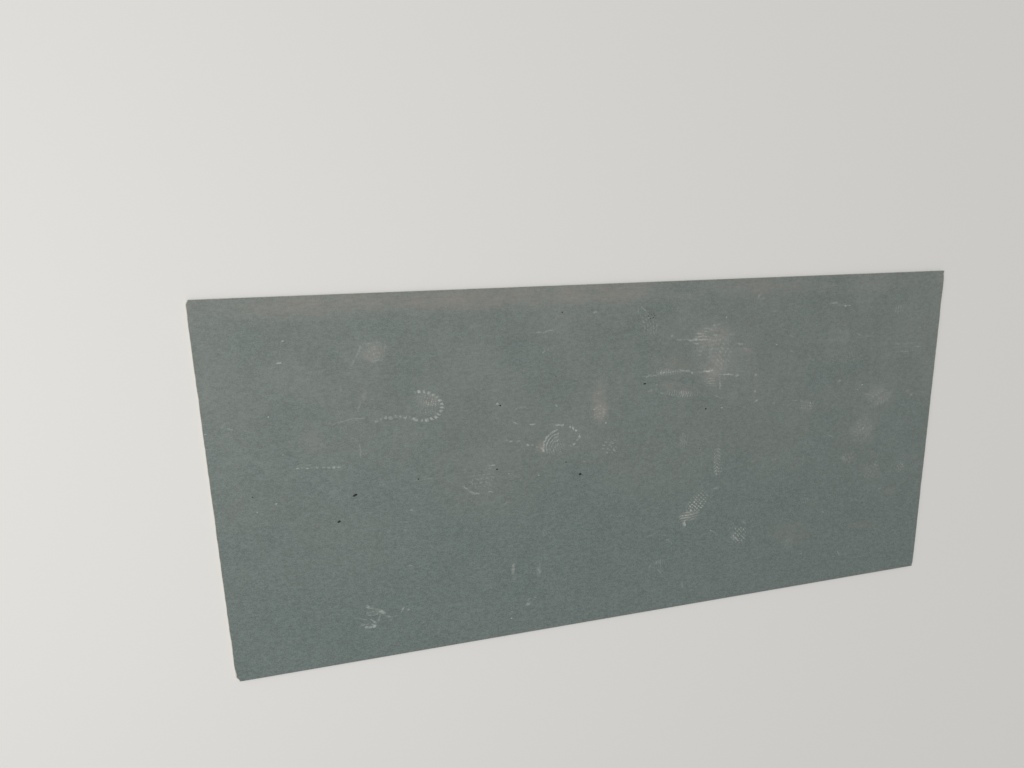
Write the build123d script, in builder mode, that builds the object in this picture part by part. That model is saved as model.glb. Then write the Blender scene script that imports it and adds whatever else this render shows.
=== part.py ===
"""Moisture-resistant drywall sheet, lying face up.

One laminated sheet of gypsum in green lining paper, 2600 x 1200 x 12.5 mm.
Both long edges are bound in the face paper and recessed on the face, so that a
taped joint finishes level. Both short ends are sawn square across. The corner at
-X -Y has been knocked off by handling, and the one at -X +Y is bruised.

Frame: +X along the length, +Y across the width, +Z out of the green face. The
origin is on the back face, in the middle of the sheet. Sizes in millimetres.
"""

from build123d import *

import os

# Sheet
sheet_length = 2600
sheet_width = 1200
sheet_thickness = 12.5

# Recessed long edges, rolled into the face
recess_width = 50  # from the nose in to the full thickness
recess_depth = 1.2  # how much thinner the sheet is at its nose
recess_blend = 700  # radius where the recess runs out into the face
nose_face_radius = 2.0  # paper wrapped over the nose, on the face side
nose_back_radius = 1.2  # the same fold on the back

# Knocked-off corner at -X -Y: how far it runs along each side of the face
broken_along_end = 17
broken_along_edge = 11
# Bruised corner at -X +Y
bruised_along_end = 9
bruised_along_edge = 5
# The break slants inwards, so the back loses less than the face
break_undercut = 0.45  # share of the face's loss that reaches the back
break_hollow = 0.62  # place of the break's inner point, as a share of each side
break_overrun = 5  # how far the cutting shape passes outside the sheet

half_length = sheet_length / 2
half_width = sheet_width / 2
nose_height = sheet_thickness - recess_depth
full_thickness_edge = half_width - recess_width


def lost_corner(along_end, along_edge, way):
    """Outline of what a break removes, at one height. The sheet's corner is at 0, 0,
    X runs along the long edge into the sheet, and way times Y runs along the end.
    """
    return (
        (-break_overrun, -way * break_overrun),
        (along_edge, -way * break_overrun),
        (along_edge, 0),
        (along_edge * break_hollow, way * along_end * break_hollow),
        (0, way * along_end),
        (-break_overrun, way * along_end),
    )


with BuildPart() as drywall_sheet:
    # Cross-section, looking along the length: back, noses, recesses and face
    with BuildSketch(Plane.YZ.offset(-half_length)) as section:
        with BuildLine():
            Polyline(
                (-half_width, 0),
                (half_width, 0),
                (half_width, nose_height),
                (full_thickness_edge, sheet_thickness),
                (-full_thickness_edge, sheet_thickness),
                (-half_width, nose_height),
                close=True,
            )
        make_face()
        back_folds, face_folds, recess_ends = section.vertices().group_by(Axis.Y)
        fillet(recess_ends, recess_blend)
        fillet(face_folds, nose_face_radius)
        fillet(back_folds, nose_back_radius)
    extrude(amount=sheet_length)

    # Breaks at the -X end: way points from the corner into the sheet
    for corner_y, way, along_end, along_edge in (
        (-half_width, 1, broken_along_end, broken_along_edge),
        (half_width, -1, bruised_along_end, bruised_along_edge),
    ):
        for height, share in ((0, break_undercut), (sheet_thickness, 1)):
            with BuildSketch(Plane((-half_length, corner_y, height))):
                Polygon(*lost_corner(along_end * share, along_edge * share, way), align=None)
        loft(ruled=True, mode=Mode.SUBTRACT)

drywall_sheet.part.label = "drywall_sheet"

os.makedirs("parts", exist_ok=True)
export_step(drywall_sheet.part, "parts/drywall_sheet.step")

print("volume, litres:", round(drywall_sheet.part.volume / 1e6, 3))
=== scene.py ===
"""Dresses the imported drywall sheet: lining papers, gypsum core, plaster splashes and site dirt.

Sizes are in metres, in the sheet's own frame: +X along the length, +Y across the width and
+Z out of the green face, with the back face on the floor at zero height. Places and sizes of
marks on the face are in millimetres from its middle.
"""

import cmath
import itertools
import math

import bpy
import numpy as np
from mathutils import Matrix, Vector


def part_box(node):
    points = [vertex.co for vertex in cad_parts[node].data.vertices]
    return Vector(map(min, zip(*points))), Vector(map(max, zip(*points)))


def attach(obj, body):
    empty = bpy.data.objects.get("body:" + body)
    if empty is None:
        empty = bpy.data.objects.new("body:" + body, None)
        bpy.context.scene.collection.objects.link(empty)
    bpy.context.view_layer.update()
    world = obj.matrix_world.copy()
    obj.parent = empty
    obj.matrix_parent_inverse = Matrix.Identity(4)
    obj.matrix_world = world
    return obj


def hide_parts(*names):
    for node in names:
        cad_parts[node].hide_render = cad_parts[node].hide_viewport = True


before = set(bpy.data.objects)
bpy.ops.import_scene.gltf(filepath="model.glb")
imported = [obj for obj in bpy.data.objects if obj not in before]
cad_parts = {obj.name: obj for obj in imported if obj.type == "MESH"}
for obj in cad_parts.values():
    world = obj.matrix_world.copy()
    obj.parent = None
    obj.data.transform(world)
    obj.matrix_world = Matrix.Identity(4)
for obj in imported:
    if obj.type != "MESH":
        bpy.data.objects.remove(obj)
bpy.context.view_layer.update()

bl_info = {
    "name": "Drywall sheet finishes",
    "version": (1, 0, 0),
    "blender": (4, 5, 0),
    "location": "3D View > Sidebar > Drywall",
    "description": "Builds the papers, core, dust and dirt of a drywall sheet around its solid",
    "category": "Object",
}

MM = 0.001
SMOOTH = 180  # degrees at which no crease is sharp
NODE = "drywall_sheet"
BODY = "root"

HALF_LENGTH, HALF_WIDTH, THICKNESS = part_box(NODE)[1]
# Thickness of the back paper, and height of the face paper's lap above the floor
BACK_PAPER = 0.3 * MM
LAP_HEIGHT = 0.34 * MM
# How far in from the sawn ends their wear moves the meshes, in mm
END_REACH = 45


def linear(*levels):
    """Turns sRGB levels from 0 to 255 into linear light."""
    share = np.array(levels) / 255
    return tuple(np.where(share <= 0.04045, share / 12.92, ((share + 0.055) / 1.055) ** 2.4).tolist())


def length(name, description, millimetres):
    """A size, given in millimetres and kept in metres."""
    return bpy.props.FloatProperty(
        name=name, description=description, default=millimetres * MM, min=0.0, unit="LENGTH", precision=5
    )


def colour(name, description, *levels):
    """A colour, given as sRGB levels and kept as linear light."""
    light = linear(*levels)
    return bpy.props.FloatVectorProperty(
        name=name, description=description, default=light, min=0.0, max=1.0, subtype="COLOR", size=3
    )


class DrywallSizes(bpy.types.PropertyGroup):
    """Sizes of the finishes, and of the recess that they follow."""

    paper: length("Paper", "Thickness of the lining paper", 0.4)
    lap: length("Lap", "How far the face paper is folded onto the back", 24)
    recess_width: length("Recess width", "Width of the recess along each long edge", 50)
    recess_depth: length("Recess depth", "How much thinner the sheet is at its nose", 1.2)
    face_fold: length("Face fold", "Radius of the paper where it leaves the face", 2.0)
    back_fold: length("Back fold", "Radius of the paper where it reaches the back", 1.2)
    back_margin: length("Back margin", "Strip of folded face paper that the back paper leaves bare", 13)
    waviness: length("Waviness", "Height of the face's slow waves", 0.14)
    end_wear: length("End wear", "How far the paper is usually worn back from a sawn end", 0.9)
    core_grain: length("Core grain", "Roughness of sawn gypsum", 0.22)


class DrywallColours(bpy.types.PropertyGroup):
    """Colours of the finishes."""

    paper: colour("Face paper", "Green lining paper", 100, 112, 108)
    fibre: colour("Fibre", "Pale fibres in the lining paper", 146, 155, 150)
    dust: colour("Dust", "Pale plaster dust", 177, 180, 175)
    soil: colour("Soil", "Brown dust from the floor", 143, 134, 127)
    core: colour("Core", "Gypsum, freshly broken", 214, 208, 197)
    ply: colour("Ply", "Bare plies where the paper is torn", 176, 171, 157)
    back: colour("Back paper", "Grey-brown lining paper of the back", 150, 141, 128)
    plaster: colour("Plaster", "Dried splashes of plaster", 160, 165, 160)
    dirt: colour("Dirt", "Dark specks stuck to the face", 47, 46, 43)
    floor: colour("Floor", "Plain floor under the sheet", 222, 220, 216)
    backdrop: colour("Backdrop", "Pale surroundings, seen behind the floor", 226, 225, 222)


def value_noise(points, cell, seed):
    """Smooth noise from -1 to 1. Each corner of a lattice of that cell has a hashed value,
    and a point takes their mean, weighted by smoothstep of its share along each axis.
    """
    place = np.asarray(points, float) / cell
    base = np.floor(place).astype(np.int64)
    share = place - base
    share = share * share * (3 - 2 * share)
    primes = np.array([73856093, 19349663, 83492791])[: place.shape[-1]]
    total = np.zeros(place.shape[:-1])
    for corner in itertools.product((0, 1), repeat=place.shape[-1]):
        mixed = np.bitwise_xor.reduce((base + corner) * primes, axis=-1) ^ (seed * 2654435761)
        mixed = ((mixed ^ (mixed >> 13)) * 1274126177) & 0xFFFFFFFF
        mixed = ((mixed ^ (mixed >> 16)) * 668265263) & 0xFFFFFFFF
        weight = np.prod(np.where(corner, share, 1 - share), axis=-1)
        total += weight * (mixed / 2**31 - 1)
    return total


def rough_noise(points, cell, seed, octaves=3):
    """Sum of value_noise at halving cells and halving heights, scaled back to about -1 to 1."""
    layers = [value_noise(points, cell / 2**n, seed + n) / 2**n for n in range(octaves)]
    return sum(layers) / 1.6


def soft_step(value, low, high):
    """Smoothstep from 0 at low to 1 at high."""
    share = np.clip((value - low) / (high - low), 0, 1)
    return share * share * (3 - 2 * share)


def box_skin(*stations):
    """Grid on the six sides of a block, at the given stations along each axis. Returns each
    vertex's station on each axis, and the quads of each side, which point outwards.
    """
    skin = np.zeros([len(line) for line in stations], bool)
    sides = list(itertools.product(range(3), (0, -1)))
    for axis, end in sides:
        np.moveaxis(skin, axis, 0)[end] = True
    number = np.full(skin.shape, -1)
    number[skin] = np.arange(skin.sum())
    quads = {}
    for axis, end in sides:
        side = np.take(number, end, axis)
        loop = np.stack((side[:-1, :-1], side[1:, :-1], side[1:, 1:], side[:-1, 1:]), -1).reshape(-1, 4)
        quads[axis, end] = loop if (end == -1) != (axis == 1) else loop[:, ::-1]
    return [line[place] for line, place in zip(stations, np.nonzero(skin))], quads


def add_mesh(name, points, quads, uv=None):
    """Makes a smooth-shaded mesh object from whole arrays of points, quads and UV places."""
    mesh = bpy.data.meshes.new(name)
    mesh.vertices.add(len(points))
    mesh.vertices.foreach_set("co", np.asarray(points, np.float32).ravel())
    mesh.loops.add(quads.size)
    mesh.loops.foreach_set("vertex_index", quads.astype(np.int32).ravel())
    mesh.polygons.add(len(quads))
    mesh.polygons.foreach_set("loop_start", np.arange(0, quads.size, 4, dtype=np.int32))
    mesh.update(calc_edges=True)
    mesh.shade_smooth()
    if uv is not None:
        mesh.uv_layers.new(name="OFBake").uv.foreach_set("vector", uv.astype(np.float32).ravel())
    piece = bpy.data.objects.new(name, mesh)
    bpy.context.scene.collection.objects.link(piece)
    return piece


def add_block(name, points, spots, quads, heights):
    """Makes a mesh object from a block's skin. In its UV map the sides lie one above another,
    each over the full width and with its share of the height. A vertex's place on a side is
    the share of the way that its stations are along the side's two axes.
    """
    gap = 0.006
    room = 1 - gap * (len(heights) + 1)
    shares = [(spot - spot.min()) / np.ptp(spot) for spot in spots]
    uv, low = {}, gap
    for side, height in heights.items():
        across, up = (shares[axis][quads[side].ravel()] for axis in range(3) if axis != side[0])
        high = low + room * height / sum(heights.values())
        uv[side] = np.stack((gap + (1 - 2 * gap) * across, low + (high - low) * up), -1)
        low = high + gap
    corners = np.concatenate([uv[side] for side in quads])
    return add_mesh(name, points, np.concatenate(list(quads.values())), corners)


def finish_piece(piece, material, sharp_angle=35):
    """Gives a piece its material and creases, and sets it on the sheet's body."""
    piece.data.materials.append(material)
    piece.data.set_sharp_from_angle(angle=math.radians(sharp_angle))
    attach(piece, BODY)


def end_stations(half, steps, spacing):
    """Stations along an axis from -half to half: steps in from each end, then even spacing. The
    steps and the spacing are in millimetres.
    """
    steps = np.array(steps) * MM
    inner = half - steps[-1]
    middle = np.linspace(-inner, inner, round(2 * inner / (spacing * MM)) + 1)
    outer = half - steps[:-1]
    return np.concatenate((-outer, middle, outer[::-1]))


def face_height(y, sizes):
    """Height of the face across the width: the full thickness, less a straight recess towards
    each nose that runs out softly into the face.
    """
    ramp = 1 - (HALF_WIDTH - np.abs(y)) / sizes.recess_width
    softness = 0.12
    return THICKNESS - sizes.recess_depth * 0.5 * (ramp + np.sqrt(ramp**2 + softness**2))


def face_relief(x, y, sizes):
    """Height of the face's waves: slow noise that is longer along the sheet than across it. It
    stays under the full thickness.
    """
    place = np.stack((x, y), -1)
    slow = value_noise(place / (1.5, 1), 0.31, 3)
    quick = value_noise(place / (2.2, 1), 0.075, 8)
    quick_share = 0.35
    return sizes.waviness * (slow - 1 + quick_share * (quick - 1))


# Worn or broken places along each sawn end: distance along the end, half width and depth in mm
LEFT_END_WEAR = (
    (596, 6, 1.6), (566, 18, 1.0), (320, 30, 0.8), (168, 5, 1.4), (-40, 30, 0.9), (-330, 22, 1.1),
    (-470, 40, 1.4), (-572, 15, 3.4),
)
RIGHT_END_WEAR = (
    (588, 9, 2.6), (470, 26, 1.2), (120, 34, 1.0), (-250, 20, 1.4), (-594, 6, 3.0),
)


def paper_wear(y, height, sizes, wear_rows, seed):
    """How far the paper ends short of a sawn end: a usual strip with ragged noise, and a bell
    at each worn place.
    """
    place = np.stack((y, height), -1)
    ragged = rough_noise(place, 0.019, seed)
    worn = sizes.end_wear * (0.75 + 0.8 * ragged)
    for middle, half_width, depth in wear_rows:
        bell = np.exp(-(((y - middle * MM) / (half_width * MM)) ** 2))
        worn = worn + depth * MM * bell * (1 + 0.25 * ragged)
    return np.maximum(worn, 0.15 * MM)


# Corners broken off the left end: which long edge, and how far the loss runs along the end and
# along the edge on the face, in mm. The same numbers as the solid's.
BROKEN_CORNERS = ((-1, 17, 11), (1, 9, 5))
BREAK_UNDERCUT = 0.45  # share of the loss that is left at the back
BREAK_BEND = 0.62  # share of both runs at which the break's line bends


def corner_loss(y, height):
    """How far the broken corners cut in from the left end. The cut is a bent line on the face,
    and shrinks towards the back to BREAK_UNDERCUT of it.
    """
    share = BREAK_UNDERCUT + (1 - BREAK_UNDERCUT) * np.clip(height / THICKNESS, 0, 1)
    loss = np.zeros(np.broadcast(y, height).shape)
    for way, along_end, along_edge in BROKEN_CORNERS:
        inward = (HALF_WIDTH - way * y) / share
        stops = np.array((0, along_end * BREAK_BEND, along_end)) * MM
        cut = np.array((along_edge, along_edge * BREAK_BEND, 0)) * MM
        loss = loss + share * np.interp(inward, stops, cut)
    return loss


def wrap_section(sizes):
    """Section of the face paper's outer side: from its edge on the back, round the nose, across
    the face and round to the other edge. Straight stretches and arcs are joined end to end, as
    the distance in from the nose and the height, and the second half mirrors the first.
    Returns points and outward normals across the length.
    """
    fold_back, fold_face = sizes.back_fold, sizes.face_fold
    nose_top = face_height(HALF_WIDTH, sizes)
    lap = (np.linspace(sizes.lap, fold_back, 7), np.full(7, LAP_HEIGHT))
    turn = np.linspace(0, 1, 7)[1:] * math.pi / 2
    back_arc = (fold_back * (1 - np.sin(turn)), LAP_HEIGHT + fold_back * (1 - np.cos(turn)))
    wall = (np.zeros(7), np.linspace(LAP_HEIGHT + fold_back, nose_top - fold_face, 8)[1:])
    slope = math.atan(sizes.recess_depth / sizes.recess_width)
    turn = np.linspace(0, 1, 9)[1:] * (math.pi / 2 - slope)
    face_arc = (fold_face * (1 - np.cos(turn)), nose_top - fold_face * (1 - np.sin(turn)))
    reach, arc_top = face_arc[0][-1], face_arc[1][-1]
    recess_end = 1.25 * sizes.recess_width
    recess = np.linspace(reach, recess_end, 12)[1:]
    inset = np.concatenate((recess, np.linspace(recess_end, HALF_WIDTH, 70)[1:]))
    step_up = arc_top - face_height(HALF_WIDTH - reach, sizes)
    height = face_height(HALF_WIDTH - inset, sizes) + step_up * (1 - soft_step(inset, 0, 20 * MM))
    half = np.concatenate((lap, back_arc, wall, face_arc, (inset, height)), axis=1).T - (HALF_WIDTH, 0)
    points = np.concatenate((half, half[-2::-1] * (-1, 1)))
    along = np.gradient(points, axis=0)
    normal = np.stack((-along[:, 1], along[:, 0]), -1)
    return points, normal / np.linalg.norm(normal, axis=1, keepdims=True)


def paper_ends(y, height, sizes):
    """Where the paper stops near each sawn end, as places along X: worn back, and torn further
    back than the gypsum at the broken corners.
    """
    torn = corner_loss(y, height) * 1.12
    left = -HALF_LENGTH + torn + paper_wear(y, height, sizes, LEFT_END_WEAR, 21)
    right = HALF_LENGTH - paper_wear(y, height, sizes, RIGHT_END_WEAR, 47)
    return left, right


def fit_between(station, left, right):
    """Moves stations near each end so that the first is at left and the last at right. The
    shift fades out over the reach.
    """
    reach = END_REACH * MM
    pull_left = 1 - soft_step(station + HALF_LENGTH, 0, reach)
    pull_right = 1 - soft_step(HALF_LENGTH - station, 0, reach)
    return station + pull_left * (left + HALF_LENGTH) + pull_right * (right - HALF_LENGTH)


def mark_worn(piece, *distances):
    """Stores how worn each vertex is, as an attribute for the material: 1 at the paper's ends,
    falling exponentially with the smaller of its distances from them. Each distance comes
    divided by the wear's reach in millimetres.
    """
    worn = np.exp(-np.minimum(*distances) / MM).astype(np.float32)
    piece.data.attributes.new("worn", "FLOAT", "POINT").data.foreach_set("value", worn)


def build_face_paper(sizes):
    """Face paper: the section swept along X between its worn ends, with an inner side one
    paper's thickness below. The torn edge curls up a little.
    """
    section, normal = wrap_section(sizes)
    stations = end_stations(HALF_LENGTH, (0, 0.7, 1.6, 2.8, 4.4, 6.6, 9.6, 14, 20, 30, END_REACH), 12.4)
    (station, row, side), quads = box_skin(stations, np.arange(len(section)), np.arange(2))
    y, height = section[row].T
    left, right = paper_ends(y, height, sizes)
    x = fit_between(station, left, right)
    on_face = soft_step(height, 0.7 * THICKNESS, 0.85 * THICKNESS)
    lift = on_face * face_relief(x, y, sizes)
    torn = np.exp(-((x - left) / (2.2 * MM)))
    curl = on_face * torn * 0.35 * MM * (0.6 + 0.6 * value_noise(np.stack((y, height), -1), 0.03, 5))
    points = np.stack((x, y, height + lift + curl), -1)
    points[:, 1:] += normal[row] * ((side - 1) * sizes.paper)[:, None]
    run = np.concatenate(((0,), np.cumsum(np.linalg.norm(np.diff(section, axis=0), axis=1))))
    heights = {(2, -1): 92, (2, 0): 3, (0, 0): 0.8, (0, -1): 0.8, (1, 0): 0.4, (1, -1): 0.4}
    piece = add_block("face_paper", points, (station, run[row], side), quads, heights)
    mark_worn(piece, (x - left) / 2.5, (right - x) / 2)
    return piece


def round_noses(y, height, radius, edge, way, reach):
    """Maps the square at each upper or lower corner of the core's section to a quarter disc.
    way points from the edge height into the core.
    """
    centre_y = reach - radius
    centre_z = edge + way * radius
    out_y = (np.abs(y) - centre_y) / radius
    out_z = way * (centre_z - height) / radius
    inside = (out_y > 0) & (out_z > 0)
    square = np.maximum(out_y, out_z)
    disc = np.where(inside, square / np.maximum(np.hypot(out_y, out_z), 1e-9), 1)
    y = np.where(inside, np.sign(y) * (centre_y + out_y * disc * radius), y)
    return y, np.where(inside, centre_z - way * out_z * disc * radius, height)


def build_gypsum_core(sizes):
    """Gypsum core: a block whose section follows the papers' inner sides, with rounded noses.
    Its sawn ends are grainy, their upper arris is crumbled, and the left corners are broken.
    """
    tuck = 0.02 * MM
    skin = sizes.paper + tuck
    stations = end_stations(HALF_LENGTH, (0, 0.6, 1.3, 2.2, 3.4, 5, 7.4, 11, 16, 24, END_REACH), 240)
    across = end_stations(HALF_WIDTH - skin, (0, 0.5, 1.2, 2.2, 4, 7), 3.1)
    levels = np.concatenate(((0, 0.05, 0.12), np.linspace(0.22, 0.8, 7), (0.9, 1)))
    spots, quads = box_skin(stations, across, levels)
    station, y, level = spots
    top = face_height(y, sizes) - skin
    lap_start = HALF_WIDTH - sizes.lap
    bottom = LAP_HEIGHT + tuck + sizes.paper * soft_step(np.abs(y), lap_start - 5 * MM, lap_start)
    height = bottom + level * (top - bottom)
    y, height = round_noses(y, height, sizes.face_fold - skin, top, -1, HALF_WIDTH - skin)
    y, height = round_noses(y, height, sizes.back_fold - skin, bottom, 1, HALF_WIDTH - skin)
    cut = corner_loss(y, height)
    broken = soft_step(cut, 0.1 * MM, 1.5 * MM)
    grain_place = np.stack((np.zeros_like(y), y, height), -1)
    grain_cell = 0.0034
    grain = rough_noise(grain_place, grain_cell, 60)
    chunk = rough_noise(grain_place, 0.009, 61)
    left = -HALF_LENGTH + cut + sizes.core_grain * (0.5 + 0.5 * grain) + broken * 0.9 * MM * chunk
    left = np.maximum(left, -HALF_LENGTH)
    grain = rough_noise(grain_place + (1, 0, 0), grain_cell, 80)
    right = HALF_LENGTH - sizes.core_grain * (0.5 + 0.5 * grain)
    x = fit_between(station, left, right)
    # Crumbled arris: the top drops as a quarter round whose size follows the paper's wear
    paper_left, paper_right = paper_ends(y, height, sizes)
    upper = soft_step(level, 0.55, 1)
    for inward, worn in ((x - left, paper_left - left), (right - x, right - paper_right)):
        radius = np.clip(1.1 * worn, 0.4 * MM, 3.2 * MM)
        share = np.clip(1 - inward / radius, 0, 1)
        drop = radius * (1 - np.sqrt(np.maximum(1 - share**2, 0)))
        height = height - upper * drop * (0.8 + 0.3 * rough_noise(np.stack((x, y, height), -1), 0.004, 90))
    height = height + soft_step(level, 0.5, 1) * face_relief(x, y, sizes)
    heights = {(0, 0): 40, (0, -1): 40, (2, -1): 4, (2, 0): 4, (1, 0): 2, (1, -1): 2}
    return add_block("gypsum_core", np.stack((x, y, height), -1), spots, quads, heights)


def build_back_paper(sizes):
    """Back paper: a thin slab on the floor side. Its long edges wander a little over the folded
    face paper, and its ends are worn like the face's.
    """
    half = HALF_WIDTH - sizes.back_margin
    stations = end_stations(HALF_LENGTH, (0, 1, 2.4, 4.6, 8, 14, 24, END_REACH), 26)
    across = end_stations(half, (0, 1.5, 4, 9), 14)
    spots, quads = box_skin(stations, across, np.array((0, BACK_PAPER)))
    station, y, height = spots
    wear = 0.6 * paper_wear(y, height, sizes, LEFT_END_WEAR[-2:], 71)
    left = -HALF_LENGTH + corner_loss(y, height) + wear
    right = HALF_LENGTH - 0.6 * paper_wear(y, height, sizes, (), 72)
    x = fit_between(station, left, right)
    wander = value_noise(np.stack((x, np.sign(y)), -1), 0.21, 31) * 0.8 * MM
    y = y + np.sign(y) * wander * soft_step(np.abs(y), half - 12 * MM, half)
    heights = {(2, 0): 92, (2, -1): 4, (0, 0): 0.6, (0, -1): 0.6, (1, 0): 0.5, (1, -1): 0.5}
    piece = add_block("back_paper", np.stack((x, y, height), -1), spots, quads, heights)
    mark_worn(piece, (x - left) / 2, (right - x) / 2)
    return piece


# Splashes of dried plaster: x, y, half length, half width, turn in degrees and thickness, in mm
PLASTER_SPLASHES = (
    (-1070, 408, 9, 3.4, 8, 0.6), (-1055, 472, 4, 2.4, 0, 0.4), (-1117, 250, 3, 2.4, 30, 0.4),
    (-1088, 130, 2.4, 2, 0, 0.4), (-1178, -42, 2.6, 2.2, 0, 0.4), (-1122, -22, 3.4, 2.6, 60, 0.4),
    (-425, 232, 5.5, 4, 20, 0.6), (-402, -535, 3.4, 2.6, 0, 0.4), (-400, -510, 2.4, 2, 0, 0.4),
    (-395, -8, 2.6, 2.2, 0, 0.4), (-293, -25, 3, 2.4, 0, 0.4), (-95, 185, 3.2, 2.6, 15, 0.4),
    (-53, 135, 3.6, 3, 80, 0.5), (385, 150, 5, 2.6, 0, 0.5), (390, 470, 2.6, 3.6, 0, 0.5),
    (595, 363, 3, 2, -10, 0.4), (843, -303, 3, 2.2, 10, 0.4), (872, 487, 4.6, 3.4, 0, 0.6),
    (889, 489, 4, 2, -12, 0.4), (974, 189, 4.6, 2.4, 20, 0.5), (955, 172, 2.4, 2, 0, 0.4),
    (1213, 392, 2.2, 2, 0, 0.4),
)
# Dark specks stuck to the face, as above
DIRT_SPECKS = (
    (-1187, 7, 2, 1.6, 0, 0.3), (-945, -103, 6, 3.2, 25, 0.6), (-890, -22, 7, 4, 20, 0.7),
    (-692, 8, 3, 2, 0, 0.4), (-435, 12, 3.4, 2.4, -10, 0.5), (-417, 226, 3, 2.4, 0, 0.4),
    (-228, 307, 1.8, 1.4, 0, 0.3), (-203, 515, 2.8, 1.8, 0, 0.4), (-197, 11, 2.6, 2.2, 40, 0.4),
    (-147, -37, 5, 3.6, 10, 0.6), (58, 9, 2, 1.2, 5, 0.3), (88, 260, 5, 2.4, 8, 0.5),
    (302, 8, 2, 1.4, 0, 0.3), (98, 488, 2, 1.2, 30, 0.3), (104, 480, 2.4, 1.4, -20, 0.3),
    (109, 492, 2, 1.4, 60, 0.3), (115, 483, 2.6, 1.3, 10, 0.3), (120, 490, 2, 1.2, -40, 0.3),
    (107, 472, 1.8, 1.2, 0, 0.3), (116, 497, 1.8, 1.2, 20, 0.3), (124, 480, 2, 1.2, 70, 0.3),
    (322, 152, 3, 2.8, 0, 0.5),
)


def strew(rows, smallest, largest, seed, count=40):
    """Adds small random blobs to the rows of a kind, spread over the whole face."""
    draw = np.random.default_rng(seed)
    size = smallest + (largest - smallest) * draw.random(count) ** 2.2
    x = draw.uniform(-1280, 1280, count)
    y = draw.uniform(-545, 545, count)
    shape = (x, y, size, size * draw.uniform(0.55, 0.95, count), draw.uniform(0, 180, count), size * 0.16)
    return np.concatenate((np.array(rows, float), np.stack(shape, -1)))


def build_blobs(name, rows, sizes):
    """Flat domed blobs on the face, joined in one mesh. A cube's skin is pushed out to a unit
    sphere, whose outline is made ragged by noise; its upper half is laid on the face as the
    dome, and its lower half is pressed flat, just into the paper.
    """
    spots, quads = box_skin(np.linspace(-1, 1, 5), np.linspace(-1, 1, 5), np.linspace(-1, 1, 3))
    cube = np.stack(spots, -1)
    ball = cube / np.linalg.norm(cube, axis=1, keepdims=True) * np.abs(cube).max(axis=1, keepdims=True)
    x, y, half_length, half_width, turn, thick = (column[:, None] for column in rows.T)
    ragged = 1 + 0.28 * value_noise(ball[None, :, :2] * 1.7 + rows[:, None, :2], 1.0, 17)
    along = ball[None, :, 0] * ragged * half_length
    across = ball[None, :, 1] * ragged * half_width
    turn = np.radians(turn)
    px = (x + along * np.cos(turn) - across * np.sin(turn)) * MM
    py = (y + along * np.sin(turn) + across * np.cos(turn)) * MM
    up = ball[None, :, 2]
    bumpy = 1 + 0.3 * value_noise(np.stack((px, py), -1), 0.0028, 29)
    sunk = 0.06
    rise = np.where(up > 0, up * thick * bumpy, up * sunk) * MM
    pz = face_height(py, sizes) + face_relief(px, py, sizes) + rise
    loops = np.concatenate(list(quads.values()))
    joined = (loops + np.arange(len(rows))[:, None, None] * len(ball)).reshape(-1, 4)
    # Each blob has a cell of the UV square, its dome on the left and its underside on the right
    cells = math.ceil(math.sqrt(len(rows)))
    under = (ball[loops, 2].mean(axis=1) < 0)[:, None]
    in_cell = np.stack((0.25 + 0.22 * ball[loops, 0] + 0.5 * under, 0.5 + 0.44 * ball[loops, 1]), -1)
    cell = np.stack((np.arange(len(rows)) % cells, np.arange(len(rows)) // cells), -1)
    uv = (in_cell[None] + cell[:, None, None, :]) / cells
    return add_mesh(name, np.stack((px, py, pz), -1).reshape(-1, 3), joined, uv)


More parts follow.
